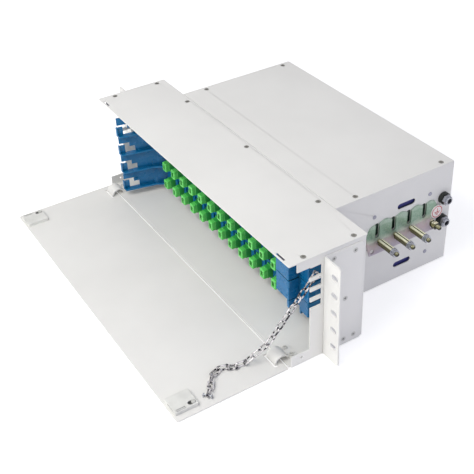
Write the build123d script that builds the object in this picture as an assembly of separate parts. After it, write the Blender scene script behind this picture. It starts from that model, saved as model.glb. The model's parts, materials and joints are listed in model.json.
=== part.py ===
from build123d import *
import os
from math import sin, cos, radians, sqrt

# 19-inch rack optical distribution frame: a 3U fibre patch and splice box, T-shaped in
# plan, with its drop-down front door lying open and four pull-out trays.
# Millimetres. +X right, +Y to the rear, +Z up.
# The working frame has Y = 0 at the front edge of the top cover. Parts are moved by
# -EAR_REAR_Y on export, so the origin ends up at the middle of the width, on the plane
# where the ears bear on the rack rails, at the underside.

# ---- driving dimensions -------------------------------------------------
FRONT_W = 430.0      # width of the front section
REAR_W = 323.0       # width of the rear body
HEIGHT = 132.0       # three rack units less clearance
FRONT_D = 95.0       # depth of the front section
DEPTH = 259.0        # whole depth
THIN = 1.2           # sheet of covers and rear walls
THICK = 1.5          # sheet of bottom, door and side plates

FRONT_X = FRONT_W / 2            # outer face of the side plate
FRONT_IN_X = FRONT_X - THICK     # inner face of the side plate
REAR_X = REAR_W / 2              # outer face of the rear wall sheet
REAR_IN_X = REAR_X - THIN        # inner face of the rear wall sheet
SHOULDER_Y = FRONT_D - THICK     # front face of the shoulder of the side plate
COVER_Z = HEIGHT - THIN          # underside of the top covers

# rack ears
EAR_X = 482.6 / 2                # half the width over the ears (19 inch)
EAR_T = 1.6
EAR_REAR_Y = 43.0                # rear face of the ear flange = rack plane
HALF_UNIT = 22.225               # half of a rack unit, the slot pitch
EAR_HOLE_X = 465.1 / 2           # half the hole spacing across the rack

# (y, z) of the screws that hold an ear on the side plate
EAR_SCREWS = [(52.6, 120.3), (79.1, 119.6), (68.1, 63.0), (67.4, 7.6), (80.5, 8.2)]

# (x, y) of the cover screws
SIDE_SCREWS = [(side * 209, y) for side in (-1, 1) for y in (21, 82)]
SEAM_SCREWS = [(x, 89) for x in (-140, 0, 140)]
FRONT_SCREWS = SIDE_SCREWS + SEAM_SCREWS
REAR_SCREWS = [(side * 155, y) for y in (126, 245) for side in (-1, 1)]
COVER_TAP_R = 1.3                # hole radius in the sheet under the covers

# door, hinge and latch
HINGE_X, HINGE_Y, HINGE_Z = 195, -1.5, 1.0
HINGE_SCREW_Y = 11.5
HINGE_SCREW_XS = [HINGE_X - 6, HINGE_X + 6]
DOOR_FREE_Y = -132.5             # free edge of the open door
LATCH_PIN_XS = [188.5, 203.5]
LATCH_PIN_Y = -115.0

# trays
TRAY_COUNT = 4
TRAY_PITCH = 26.67
TRAY_Z0 = 10.5                   # underside of the lowest tray
TRAY_H = 25.6
ADAPTER_COUNT = 12
ADAPTER_PITCH = 23.2
ADAPTER_XS = [-145.0 + ADAPTER_PITCH * i for i in range(ADAPTER_COUNT)]
ADAPTER_Z = 9.15                 # adapter centre above the tray underside
PANEL_Y = 62.0                   # rear face of the adapter flanges = front of the panel

# fittings of the rear walls
WALL_RIVETS = [(148.2, 100.1), (226.7, 100.3), (227.0, 21.0)]   # (y, z)
SHOULDER_RIVET_X = REAR_X + 6.5
SHOULDER_RIVET_ZS = [20, 66, 112]
COMB_YS = [152.0, 175.0, 197.0, 219.0]
BOLT_YS = [155.0, 177.5, 200.0]
BOLT_Z = 67.0
BOLT_R, BOLT_HOLE_R = 2.5, 2.7
EARTH_Y, EARTH_Z = 231.0, 61.0                  # earth stud
ENTRIES = [(247.0, 88.5), (246.5, 59.0)]        # (y, z) of the lined cable entries
SHORT_SLOT = (142.5, 59.5, 5.5, 4.2)            # y, z, length, width
INLETS = [(side * 100, z) for side in (1, -1) for z in (40, 92)]   # (x, z), rear panel
INLET_L, INLET_W = 60, 26

# door chain
WIRE = 1.4
LINK_L, LINK_W = 11.0, 5.6
LINK_PITCH = 8.05
STUD = Vector(209.0, 36.9, 104.3)       # stud on a tooth of the side plate comb
LIFT = Vector(185.5, -36.0, 4.4)        # where the chain lifts off the door


# ---- shape helpers ------------------------------------------------------
def span(centre, half):
    """both ends of a range about a centre"""
    return centre - half, centre + half


def block(x0, x1, y0, y1, z0, z1):
    return Pos((x0 + x1) / 2, (y0 + y1) / 2, (z0 + z1) / 2) * Box(
        abs(x1 - x0), abs(y1 - y0), abs(z1 - z0))


def rod_x(x0, x1, y, z, radius):
    return Pos((x0 + x1) / 2, y, z) * Rot(0, 90, 0) * Cylinder(radius, abs(x1 - x0))


def rod_y(y0, y1, x, z, radius):
    return Pos(x, (y0 + y1) / 2, z) * Rot(90, 0, 0) * Cylinder(radius, abs(y1 - y0))


def rod_z(z0, z1, x, y, radius):
    return Pos(x, y, (z0 + z1) / 2) * Cylinder(radius, abs(z1 - z0))


def plane_x(x, y=0, z=0):
    """plane facing +X, its local x along Y and local y along Z"""
    return Plane(origin=(x, y, z), x_dir=(0, 1, 0), z_dir=(1, 0, 0))


def slot_x(x0, x1, y, z, length, width, vertical=False):
    """stadium prism along X, long side along Y, or along Z if vertical"""
    outline = SlotOverall(length, width)
    if vertical:
        outline = Rot(0, 0, 90) * outline
    return extrude(plane_x(x0, y, z) * outline, amount=x1 - x0)


def slot_y(y0, y1, x, z, length, width):
    """stadium prism along Y, long side along X"""
    plane = Plane(origin=(x, y1, z), x_dir=(1, 0, 0), z_dir=(0, -1, 0))
    return extrude(plane * SlotOverall(length, width), amount=y1 - y0)


def polygon(*points):
    return make_face(Polyline(*points, close=True))


def prism_z(points, z0, z1):
    return extrude(Pos(0, 0, z0) * polygon(*points), amount=z1 - z0)


def hex_x(x0, x1, y, z, across_flats):
    outline = RegularPolygon(across_flats / 2, 6, major_radius=False)
    return extrude(plane_x(x0, y, z) * outline, amount=x1 - x0)


def upright_edges(shape, x):
    """vertical edges at a given x in the rear half of the front section"""
    edges = shape.edges().filter_by(Axis.Z)
    return [e for e in edges if abs(abs(e.center().X) - x) < 0.01 and e.center().Y > 90]


def mirrored(shape):
    return mirror(shape, about=Plane.YZ)


def both_sides(shapes):
    return shapes + [mirrored(shape) for shape in shapes]


# ---- output helpers -----------------------------------------------------
os.makedirs("parts", exist_ok=True)


def save(name, shape):
    export_step(Pos(0, -EAR_REAR_Y, 0) * shape, f"parts/{name}.step")


def save_group(name, shapes):
    save(name, Compound(children=shapes))


def save_pair(name, right):
    save(f"right_{name}", right)
    save(f"left_{name}", mirrored(right))


# ---- sheet-metal chassis ------------------------------------------------
def bottom_plate():
    """T-shaped, sits between the side plates and the rear walls"""
    plate = block(-FRONT_IN_X, FRONT_IN_X, 0.2, SHOULDER_Y, 0, THICK)
    plate += block(-REAR_IN_X, REAR_IN_X, SHOULDER_Y, DEPTH - THIN, 0, THICK)
    plate += block(-181, 181, 0.2, 4.7, THICK - 0.1, THICK + 0.5)
    for side in (-1, 1):
        plate -= block(side * 120, side * 150, 228, 233, -1, 3)
    for side in (1, -1):
        for x in HINGE_SCREW_XS:
            plate -= rod_z(-1, 3, side * x, HINGE_SCREW_Y, 1.3)
    return fillet(upright_edges(plate, FRONT_IN_X), 2.2)


def side_plate():
    plate = prism_z([(REAR_IN_X, SHOULDER_Y), (REAR_IN_X, FRONT_D), (FRONT_X, FRONT_D),
                     (FRONT_X, 25.5), (FRONT_IN_X, 25.5), (FRONT_IN_X, SHOULDER_Y)], 0, COVER_Z)
    plate = fillet(upright_edges(plate, FRONT_X), 3.5)
    plate = fillet(upright_edges(plate, FRONT_IN_X), 2.0)
    # lugs to the front, at the bottom and at the top
    plate += block(FRONT_IN_X, FRONT_X, 2.0, 27, 0, 14.0)
    plate += block(FRONT_IN_X, FRONT_X, 10.0, 27, 120.5, COVER_Z)
    # inward flange that carries the top cover
    plate += block(FRONT_X - 15, FRONT_X - 0.2, 12.0, SHOULDER_Y, COVER_Z - THICK, COVER_Z)
    # comb of cable slots, open to the front: z range of each slot
    for z0, z1 in [(68.3, 76.5), (81.3, 89.5), (94.3, 102.5), (107.3, 119.4)]:
        plate -= block(FRONT_IN_X - 1, FRONT_X + 1, 24, 39.2, z0, z1)
    # holes: chain stud, front bottom lug, ear screws, cover screws
    plate -= rod_x(FRONT_X - 3, FRONT_X + 1, STUD.Y, STUD.Z, 0.8)
    plate -= rod_x(FRONT_X - 3, FRONT_X + 1, 15.0, 8.3, 1.4)
    for y, z in EAR_SCREWS:
        plate -= rod_x(FRONT_X - 3, FRONT_X + 1, y, z, 1.6)
    for x, y in SIDE_SCREWS:
        if x > 0:
            plate -= rod_z(COVER_Z - 3, COVER_Z + 1, x, y, COVER_TAP_R)
    # foot flange on the bottom plate
    plate += block(FRONT_X - 10, FRONT_IN_X + 0.2, 40, 90, THICK, THICK + 1.2)
    for z in SHOULDER_RIVET_ZS:
        plate -= rod_y(FRONT_D - 3, FRONT_D + 1, SHOULDER_RIVET_X, z, 1.65)
    return plate


def rack_ear():
    flange_y = EAR_REAR_Y - EAR_T
    web_x = FRONT_X + EAR_T
    web_rear_y = 89
    ear = prism_z([(FRONT_X, web_rear_y), (FRONT_X, flange_y), (EAR_X, flange_y),
                   (EAR_X, EAR_REAR_Y), (web_x, EAR_REAR_Y), (web_x, web_rear_y)], 0.2, 127.2)
    ear = fillet([e for e in ear.edges().filter_by(Axis.Z)
                  if abs(e.center().X - FRONT_X) < 0.01 and e.center().Y < 45], 1.2)
    for k in range(1, 6):
        ear -= slot_y(EAR_REAR_Y - 3, EAR_REAR_Y + 1, EAR_HOLE_X, HALF_UNIT * k, 10.0, 6.5)
    ear = chamfer([e for e in ear.edges().filter_by(Axis.Y)
                   if abs(e.center().X - EAR_X) < 0.01], 2.5)
    for y, z in EAR_SCREWS:
        ear -= Pos(web_x - 0.55, y, z) * Rot(0, 90, 0) * Cone(1.65, 3.1, 1.1)
        ear -= rod_x(FRONT_X - 1, web_x + 1, y, z, 1.65)
    return ear


def ear_screw(y, z):
    head_x = FRONT_X + EAR_T
    screw = Pos(head_x - 0.5, y, z) * Rot(0, 90, 0) * Cone(1.5, 2.9, 1.0)
    screw += rod_x(FRONT_X - 5.5, head_x - 0.9, y, z, 1.45)
    screw -= Pos(head_x, y, z) * (Box(1.0, 2.9, 0.75) + Box(1.0, 0.75, 2.9))
    # nut on the inner face of the side plate, closed on to the thread
    screw += hex_x(FRONT_IN_X - 2.2, FRONT_IN_X, y, z, 5.5)
    return screw


def rear_wall():
    """side wall of the rear body, with flanges on the shoulder, cover and rear panel"""
    cut_x = span(REAR_X, 3)
    wall = block(REAR_X - THIN, REAR_X, FRONT_D, DEPTH, 0, COVER_Z)
    wall += block(REAR_X - 0.2, REAR_X + 12, FRONT_D, FRONT_D + THIN, 4, COVER_Z - 3)
    flange_x = REAR_IN_X + 0.2
    wall += block(REAR_X - 15, flange_x, FRONT_D + 6, DEPTH - 2, COVER_Z - THIN, COVER_Z)
    wall += (block(REAR_X - 12, flange_x, 240, DEPTH - THIN, 12, 118)
             - block(REAR_X - 13, REAR_IN_X, 239, DEPTH - 2 * THIN, 0, 130))
    wall -= slot_x(*cut_x, 193, 100, 25, 7)
    wall -= slot_x(*cut_x, 192.5, 20.5, 25, 7)
    wall -= slot_x(*cut_x, *SHORT_SLOT)
    for y in COMB_YS:
        wall -= slot_x(*cut_x, y, 81.5, 18, 6.4, vertical=True)
    for y, z in WALL_RIVETS:
        wall -= rod_x(*cut_x, y, z, 1.3)
    for y in BOLT_YS:
        wall -= rod_x(*cut_x, y, BOLT_Z, BOLT_HOLE_R)
    wall -= rod_x(*cut_x, EARTH_Y, EARTH_Z, BOLT_HOLE_R)
    for y, z in ENTRIES:
        wall -= rod_x(*cut_x, y, z, 6.0)
    for x, y in REAR_SCREWS:
        if x > 0:
            wall -= rod_z(COVER_Z - 3, COVER_Z + 1, x, y, COVER_TAP_R)
    for z in SHOULDER_RIVET_ZS:
        wall -= rod_y(FRONT_D - 1, FRONT_D + 3, SHOULDER_RIVET_X, z, 1.65)
    return wall


def rear_panel():
    panel = block(-REAR_IN_X, REAR_IN_X, DEPTH - THIN, DEPTH, THICK, COVER_Z)
    for x, z in INLETS:
        panel -= slot_y(DEPTH - 3, DEPTH + 1, x, z, INLET_L, INLET_W)
    return panel


def inlet_grommet(x, z):
    lip = 3.6
    grommet = slot_y(DEPTH - THIN - 2.0, DEPTH + 2.0, x, z, INLET_L + lip, INLET_W + lip)
    grommet -= slot_y(DEPTH - THIN - 3.0, DEPTH + 3.0, x, z, INLET_L - 6, INLET_W - 6)
    # groove that grips the sheet edge
    groove = (slot_y(DEPTH - THIN, DEPTH, x, z, INLET_L + 20, INLET_W + 20)
              - slot_y(DEPTH - THIN - 1, DEPTH + 1, x, z, INLET_L - 0.04, INLET_W - 0.04))
    return grommet - groove


save("bottom_plate", bottom_plate())
save_pair("side_plate", side_plate())
save_pair("rack_ear", rack_ear())
save_group("ear_screws", both_sides([ear_screw(y, z) for y, z in EAR_SCREWS]))
save_pair("rear_wall", rear_wall())
save("rear_panel", rear_panel())
save_group("cable_inlet_grommets", [inlet_grommet(x, z) for x, z in INLETS])


# ---- top covers ---------------------------------------------------------
def cover_hole(x, y):
    """countersunk hole"""
    return Pos(x, y, HEIGHT - 0.5) * Cone(1.8, 3.2, 1.0) + rod_z(COVER_Z - 1, HEIGHT, x, y, 1.8)


def front_top_cover():
    cover = block(-FRONT_X, FRONT_X, 0.2, FRONT_D, COVER_Z, HEIGHT)
    cover = chamfer(cover.edges().filter_by(Axis.Z), 0.8)
    for x, y in FRONT_SCREWS:
        cover -= cover_hole(x, y)
    for side in (1, -1):
        cover -= block(side * 189, side * 203.5, 2.0, 4.8, COVER_Z - 1, HEIGHT + 1)
    return cover


def rear_top_cover():
    cover = block(-REAR_X, REAR_X, FRONT_D + 0.5, DEPTH, COVER_Z, HEIGHT)
    cover = chamfer([e for e in cover.edges().filter_by(Axis.Z) if e.center().Y > 200], 0.8)
    for x, y in REAR_SCREWS:
        cover -= cover_hole(x, y)
    return cover


def cover_cross_rail():
    """under the seam of the covers, with flanges turned down at the rear and both ends"""
    end_x = REAR_IN_X - 0.2
    y0, y1 = 82, 101
    flange_z = (119, COVER_Z - THIN + 0.1)
    rail = (block(-end_x, end_x, y0, y1, COVER_Z - THIN, COVER_Z)
            + block(-end_x, end_x, y1 - THIN, y1, *flange_z))
    rail += (block(-end_x, -end_x + 1.2, y0, y1 - 1, *flange_z)
             + block(end_x - 1.2, end_x, y0, y1 - 1, *flange_z))
    for x, y in SEAM_SCREWS:
        rail -= rod_z(COVER_Z - 3, COVER_Z + 1, x, y, COVER_TAP_R)
    return rail


def cover_screw(x, y):
    """countersunk cross-recess screw, head flush with the cover"""
    head_r, head_h, shank_r, length = 2.95, 1.0, 1.25, 6.0
    screw = (Pos(x, y, HEIGHT - head_h / 2) * Cone(shank_r + 0.25, head_r, head_h)
             + rod_z(HEIGHT - length, HEIGHT - head_h, x, y, shank_r))
    arm_w = head_r * 0.26
    return screw - Pos(x, y, HEIGHT) * (Box(head_r, arm_w, 0.9) + Box(arm_w, head_r, 0.9))


save("front_top_cover", front_top_cover())
save("rear_top_cover", rear_top_cover())
save("cover_cross_rail", cover_cross_rail())
save_group("cover_screws", [cover_screw(x, y) for x, y in FRONT_SCREWS + REAR_SCREWS])


# ---- door hinge hooks ---------------------------------------------------
HOOK_T = 1.5


def hinge_hook():
    inner_r, outer_r = 7.3, 8.9
    x0, x1 = span(HINGE_X, 8.5)
    ring = (rod_x(x0, x1, HINGE_Y, HINGE_Z, outer_r)
            - rod_x(x0 - 1, x1 + 1, HINGE_Y, HINGE_Z, inner_r))
    arc = ring & (block(x0, x1, -20, 20, 2.0, 20) + block(x0, x1, -20, HINGE_Y, 0, 4))
    foot = block(x0, x1, HINGE_Y + inner_r + 0.15, 17.0, THICK, THICK + HOOK_T)
    # notched rear corners
    foot -= block(x0 - 2, x0 + 1, 15, 18, 0, 4) + block(x1 - 1, x1 + 3, 15, 18, 0, 4)
    hook = arc + foot
    for x in HINGE_SCREW_XS:
        hook -= rod_z(0, 5, x, HINGE_SCREW_Y, 1.7)
    return hook


def hinge_screw(x):
    """pan-head cross-recess screw, head above the foot of the hook"""
    y, seat_z = HINGE_SCREW_Y, THICK + HOOK_T
    head_r, head_h, shank_r, length = 2.8, 1.7, 1.25, 2.8
    head = Pos(x, y, seat_z + head_h / 2) * Cylinder(head_r, head_h)
    head = fillet(head.edges().sort_by(Axis.Z)[-1:], head_h * 0.45)
    screw = head + rod_z(seat_z - length, seat_z, x, y, shank_r)
    arm_l, arm_w = head_r * 1.1, head_r * 0.28
    recess = Box(arm_l, arm_w, head_h) + Box(arm_w, arm_l, head_h)
    return screw - Pos(x, y, seat_z + head_h) * recess


save_pair("hinge_hook", hinge_hook())
save_group("hinge_screws", both_sides([hinge_screw(x) for x in HINGE_SCREW_XS]))

# ---- front door, lying open ---------------------------------------------
LATCH_Y0, LATCH_Y1 = -130.0, -103.6
KNOB_X, KNOB_Y = 203.4, -107.4


def front_door():
    door = block(-FRONT_X, FRONT_X, DOOR_FREE_Y, HINGE_Y, 0, THICK)
    door = chamfer([e for e in door.edges().filter_by(Axis.Z) if e.center().Y < -100], 1.5)
    for side in (1, -1):
        door -= block(side * 184, side * 206, -12.2, -8.0, -1, 3)
        for x in LATCH_PIN_XS:
            door -= rod_z(-1, 3, side * x, LATCH_PIN_Y, 1.3)
    return door


def latch_housing():
    """flat housing on the inner face of the door, open towards its free edge"""
    housing = block(184, 208, LATCH_Y0, LATCH_Y1, THICK, 5.6)
    housing = fillet([e for e in housing.edges().filter_by(Axis.Z)], 1.6)
    housing = fillet(housing.faces().sort_by(Axis.Z)[-1].edges(), 0.5)
    # room for the slide, then the mouth for its tongue
    housing -= block(188.3, 206.5, -128.4, -104.6, 3.0, 4.45)
    housing -= block(189.8, 202.6, LATCH_Y0 - 1, LATCH_Y0 + 3, 3.0, 4.5)
    # slot the knob travels in
    slot_r, travel = 2.7, 3.5
    housing -= (block(*span(KNOB_X, slot_r), KNOB_Y - travel, KNOB_Y, 4.0, 7.0)
                + rod_z(4.0, 7.0, KNOB_X, KNOB_Y, slot_r)
                + rod_z(4.0, 7.0, KNOB_X, KNOB_Y - travel, slot_r))
    for x in LATCH_PIN_XS:
        housing -= rod_z(0, 2.7, x, LATCH_PIN_Y, 1.25)
    # two shallow grooves in the upper face
    housing -= (block(204.3, 205.1, -128.0, -117, 5.0, 8)
                + block(206.2, 206.9, -128.0, -117, 5.0, 8))
    return housing


def latch_slide():
    z0, z1 = 3.15, 4.3
    slide = block(188.5, 206.3, -124.5, -104.8, z0, z1)
    slide += block(190.2, 202.2, -129.7, -124.0, z0, z1)
    knob_z = 6.4
    knob = rod_z(4.2, knob_z, KNOB_X, KNOB_Y, 2.3)
    knob = fillet(knob.edges().sort_by(Axis.Z)[-1:], 0.6)
    knob -= Pos(KNOB_X, KNOB_Y, knob_z) * Cylinder(1.3, 0.8)
    return slide + knob


def latch_pin(x):
    return rod_z(0.05, 2.6, x, LATCH_PIN_Y, 1.2)


save("front_door", front_door())
save_pair("latch_housing", latch_housing())
save_pair("latch_slide", latch_slide())
save_group("latch_pins", both_sides([latch_pin(x) for x in LATCH_PIN_XS]))

# ---- trays --------------------------------------------------------------
TRAY_ZS = [TRAY_Z0 + TRAY_PITCH * k for k in range(TRAY_COUNT)]
WALL_T = 2.0         # moulded tray walls


def tray_rail():
    web_x = REAR_IN_X - 3.3
    rail = block(web_x, REAR_IN_X, 104, 236, 7, 119)
    for z0 in TRAY_ZS:
        rail += block(web_x - 7, web_x + 0.2, 104, 236, z0 - 1.7, z0 - 0.1)
        rail -= block(web_x + 1.6, REAR_X, 110, 230, z0 + 2, z0 + 20)
    # pockets for the heads of the clamp bolts and the earth stud
    for y in BOLT_YS + [EARTH_Y]:
        rail -= block(156.0, REAR_X, *span(y, 7.0), 54.0, 73.5)
    return rail


def path_wall(points, thickness, z0, z1):
    """thin upright wall along a polyline, round at its inner corners"""
    footprint = None
    for start, end in zip(points[:-1], points[1:]):
        dx, dy = end[0] - start[0], end[1] - start[1]
        length = sqrt(dx * dx + dy * dy)
        nx, ny = -dy / length * thickness / 2, dx / length * thickness / 2
        strip = polygon((start[0] + nx, start[1] + ny), (end[0] + nx, end[1] + ny),
                        (end[0] - nx, end[1] - ny), (start[0] - nx, start[1] - ny))
        footprint = strip if footprint is None else footprint + strip
    for x, y in points[1:-1]:
        footprint = footprint + Pos(x, y) * Circle(thickness / 2)
    return extrude(Pos(0, 0, z0) * footprint, amount=z1 - z0)


# (x, y) outline of the tray floor: left front, right front in two forms, rear
FLOOR_LEFT = [(-181.5, 5), (-174, 5), (-164.5, 46), (-158, 56), (-150, 60)]
FLOOR_RIGHT_LOWEST = [(177.5, 60), (177.5, 92)]
FLOOR_RIGHT = [(136, 60), (136, 37), (161, 36), (161, 50), (177.5, 50), (177.5, 92)]
FLOOR_REAR = [(155.5, 92), (155.5, 234), (-155.5, 234), (-155.5, 92), (-164, 92),
              (-164.5, 64), (-168, 58), (-173.5, 46)]
# (x, y) centrelines of the walls at the left front
ARM_PATH = [(-181, 6), (-176.5, 25), (-171, 46)]
BEND_PATH = [(-171, 46), (-169.2, 52), (-166, 58.5), (-163, 64.5)]


def tray_body(z0, lowest):
    top = z0 + TRAY_H
    floor_right = FLOOR_RIGHT_LOWEST if lowest else FLOOR_RIGHT
    tray = prism_z(FLOOR_LEFT + floor_right + FLOOR_REAR, z0, z0 + 1.8)
    tray += path_wall(BEND_PATH, WALL_T, z0, top)
    tray += path_wall([(-163, 64.5), (-158.5, 76), (-154.5, 92)], WALL_T, z0, top)
    # arm: upper band, webs under it, hook at the tip
    tray += path_wall(ARM_PATH, WALL_T, top - 10, top)
    tray += path_wall([(-177.9, 19), (-176.5, 25), (-171, 46)], 1.2, top - 16, top - 9.9)
    tray += path_wall([(-176.5, 26), (-171.2, 46)], 1.0, z0 + 1.7, top - 15.9)
    tray += path_wall([(-181, 6), (-179.3, 13)], WALL_T, z0, z0 + 12.5)
    tray += block(-183, -179.0, 5, 6.6, z0, z0 + 12.5)
    # adapter panel with a low boss between the adapters
    tray += block(-162.5, 137, PANEL_Y, PANEL_Y + 2, z0, z0 + 21.5)
    for i, x in enumerate(ADAPTER_XS):
        tray -= block(*span(x, 4.75), PANEL_Y - 1, PANEL_Y + 3, z0 + 2.6, z0 + 15.7)
        if i < ADAPTER_COUNT - 1:
            boss = block(*span(x + ADAPTER_PITCH / 2, 2.6), PANEL_Y - 1.6, PANEL_Y + 0.2,
                         z0 + 5.0, z0 + 19.0)
            tray += fillet(boss.edges().filter_by(Axis.Y), 1.2)
    # right end: box-shaped cable guide; the lowest tray has only a tab there
    if lowest:
        tray += path_wall([(136, 63), (136, 60), (160, 60), (160, 52)], WALL_T, z0, top)
        tab = polygon((36.5, top), (36.5, top - 10), (38.5, top - 10), (52.5, top - 1.5),
                      (52.5, top))
        tray += extrude(plane_x(159) * tab, amount=2.0)
        tray += block(157.6, 161, 36.5, 38.0, top - 10, top)
        tray += path_wall([(160, 52), (176.5, 51)], WALL_T, z0 + 6.5, top)
        tray += path_wall([(176.5, 51), (176.5, 61)], WALL_T, z0 + 6.5, top)
        tray += path_wall([(176.5, 61), (176.5, 91), (154.5, 91)], WALL_T, z0, top)
    else:
        tray += path_wall([(137, 63), (137, 38), (160, 37), (160, 51)], WALL_T, z0, top)
        # raised rim
        tray += path_wall([(136.4, 38), (160.6, 36.4), (161.4, 36.8), (161.4, 51)], 1.2,
                          top - 7.5, top)
        tray += path_wall([(160, 51), (176.5, 51), (176.5, 91), (154.5, 91)], WALL_T, z0, top)
    # side and rear walls of the splice compartment
    low_top = z0 + 15
    tray += block(-155.5, -153.5, 91, 234, z0, low_top)
    tray += block(153.5, 155.5, 91, 234, z0, low_top)
    tray += (block(-155.5, 155.5, 232, 234, z0, low_top)
             - block(-150, -128, 231, 235, z0 + 3, z0 + 16)
             - block(128, 150, 231, 235, z0 + 3, z0 + 16))
    # fibre winding drums
    for x in (-95, 0, 95):
        drum = Pos(x, 165, z0) * extrude(Circle(28) - Circle(26), amount=13)
        drum -= block(*span(x, 8), 130, 200, z0 + 1.8, z0 + 14)
        tray += drum
    return tray


def adapter(x, z):
    """simplex coupler, upright, centred at height z"""
    body = block(*span(x, 4.65), 55, 81, *span(z, 6.4))
    body += block(*span(x, 4.65), PANEL_Y - 1.8, PANEL_Y, z - 7.2, z + 9.0)
    body -= block(*span(x, 3.8), 54, 66, *span(z, 4.6))
    body -= block(*span(x, 3.8), 70, 82, *span(z, 4.6))
    body -= rod_y(60, 76, x, z, 1.25)
    return body


def dust_cap(x, z):
    cap = block(*span(x, 4.4), 49.5, 55, *span(z, 6.1))
    cap = fillet(cap.edges().filter_by(Axis.Y), 0.9)
    cap = chamfer(cap.faces().sort_by(Axis.Y)[0].edges(), 0.7)
    cap += block(*span(x, 3.7), 54.5, 63.5, *span(z, 4.5))
    cap -= block(*span(x, 2.4), 48, 52.5, *span(z, 3.6))
    return cap


def pigtail_plug(x, z):
    plug = block(*span(x, 3.7), 71, 91, *span(z, 4.5))
    plug = fillet([e for e in plug.edges().filter_by(Axis.X) if e.center().Y > 80], 1.2)
    plug += Pos(x, 99, z) * Rot(90, 0, 0) * Cone(1.6, 2.9, 16.4)
    return plug


def splice_holder(z0):
    """base plate with thirteen upright ribs"""
    holder = block(-30, 30, 205, 225, z0 + 1.8, z0 + 3.3)
    for i in range(13):
        holder += block(*span(-28.8 + i * 4.8, 0.6), 205, 225, z0 + 3.2, z0 + 9)
    return holder


save_pair("tray_rail", tray_rail())
for number, z0 in enumerate(TRAY_ZS, start=1):
    save(f"tray_{number}_body", tray_body(z0, lowest=number == 1))
    for name, build in [("adapters", adapter), ("dust_caps", dust_cap),
                        ("pigtail_plugs", pigtail_plug)]:
        save_group(f"tray_{number}_{name}", [build(x, z0 + ADAPTER_Z) for x in ADAPTER_XS])
    save(f"tray_{number}_splice_holder", splice_holder(z0))

# ---- cable fixing and earthing on the right wall ------------------------
BRACKET_Y0, BRACKET_Y1 = 138.0, 236.5
# (y, z) outline of the comb bracket, its scalloped top edge running from rear to front
BRACKET_OUTLINE = [
    (BRACKET_Y0, 66), (BRACKET_Y1, 66), (BRACKET_Y1, 84), (BRACKET_Y1 - 3, 90),
    (228, 91.5), (222.5, 90), (215.5, 90), (210, 92.5),
    (206, 92.5), (200.5, 90), (193.5, 90), (188, 92.5),
    (184, 92.5), (178.5, 90), (171.5, 90), (166, 92.5),
    (162, 92.5), (155.5, 90), (148.5, 90), (143, 88), (BRACKET_Y0, 80)]


def cable_fixing_bracket():
    bracket = extrude(plane_x(REAR_X) * polygon(*BRACKET_OUTLINE), amount=2.0)
    for y in COMB_YS:
        bracket -= slot_x(REAR_X - 1, REAR_X + 4, y, 84.5, 24, 6.0, vertical=True)
    # lower skirt leans outward; the bolt holes are cut after it is joined
    skirt = polygon((REAR_X, 68), (REAR_X + 2.0, 68), (REAR_X + 7.5, 56),
                    (REAR_X + 5.6, 55.2), (REAR_X, 67))
    skirt_plane = Plane(origin=(0, BRACKET_Y0, 0), x_dir=(1, 0, 0), z_dir=(0, -1, 0))
    bracket = bracket + extrude(skirt_plane * skirt, amount=-(BRACKET_Y1 - 6 - BRACKET_Y0))
    cut_x = (REAR_X - 1, REAR_X + 12)
    for y in BOLT_YS:
        bracket -= rod_x(*cut_x, y, BOLT_Z, BOLT_HOLE_R)
    bracket -= rod_x(*cut_x, EARTH_Y, EARTH_Z, 5.2)
    bracket -= slot_x(*cut_x, *SHORT_SLOT)
    return bracket


def bolt_head(y, z):
    """hexagon on the inner face of the wall"""
    return hex_x(REAR_IN_X - 3.5, REAR_IN_X, y, z, 8.0)


def clamp_bolt(y):
    return rod_x(REAR_X - 4.5, REAR_X + 34, y, BOLT_Z, BOLT_R) + bolt_head(y, BOLT_Z)


def clamp_nut(y):
    """nut with its washer"""
    nut = (hex_x(REAR_X + 27.0, REAR_X + 31.0, y, BOLT_Z, 8.0)
           + rod_x(REAR_X + 25.8, REAR_X + 27.0, y, BOLT_Z, 4.7))
    return nut - rod_x(REAR_X + 20, REAR_X + 40, y, BOLT_Z, BOLT_R)


def clamp_block(y):
    """square bar on the bolt, slit from the bore upwards"""
    bar = block(REAR_X + 4.8, REAR_X + 25.8, *span(y, 3.5), *span(BOLT_Z, 3.5))
    bar = fillet(bar.edges().filter_by(Axis.X), 1.5)
    bar -= rod_x(REAR_X + 3, REAR_X + 28, y, BOLT_Z, BOLT_R + 0.02)
    bar -= block(REAR_X + 3, REAR_X + 27, *span(y, 0.7), BOLT_Z, BOLT_Z + 7)
    return bar


EARTH_CORE_R = 2.1


def earth_stud():
    """core diameter inside the nuts, full diameter on the free end"""
    return (rod_x(REAR_X - 3.0, REAR_X + 11.4, EARTH_Y, EARTH_Z, EARTH_CORE_R)
            + rod_x(REAR_X + 11.4, REAR_X + 17, EARTH_Y, EARTH_Z, BOLT_R)
            + bolt_head(EARTH_Y, EARTH_Z))


def earth_nuts():
    """nut on the wall, washer, outer nut"""
    place = (EARTH_Y, EARTH_Z)
    bore = rod_x(REAR_X - 1, REAR_X + 15, *place, EARTH_CORE_R)
    return [hex_x(REAR_X, REAR_X + 4.0, *place, 8.0) - bore,
            rod_x(REAR_X + 6.2, REAR_X + 7.2, *place, 4.7) - bore,
            hex_x(REAR_X + 7.2, REAR_X + 11.2, *place, 8.0) - bore]


def entry_sleeve(y, z):
    """rubber lining of a cable entry, grooved on to the wall"""
    sleeve = (rod_x(REAR_X + 0.02, REAR_X + 5.0, y, z, 7.15)
              + rod_x(REAR_IN_X - 0.1, REAR_X + 0.1, y, z, 5.98)
              + rod_x(REAR_IN_X - 1.3, REAR_IN_X - 0.02, y, z, 7.0))
    return sleeve - rod_x(REAR_X - 4, REAR_X + 10, y, z, 4.8)


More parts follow.
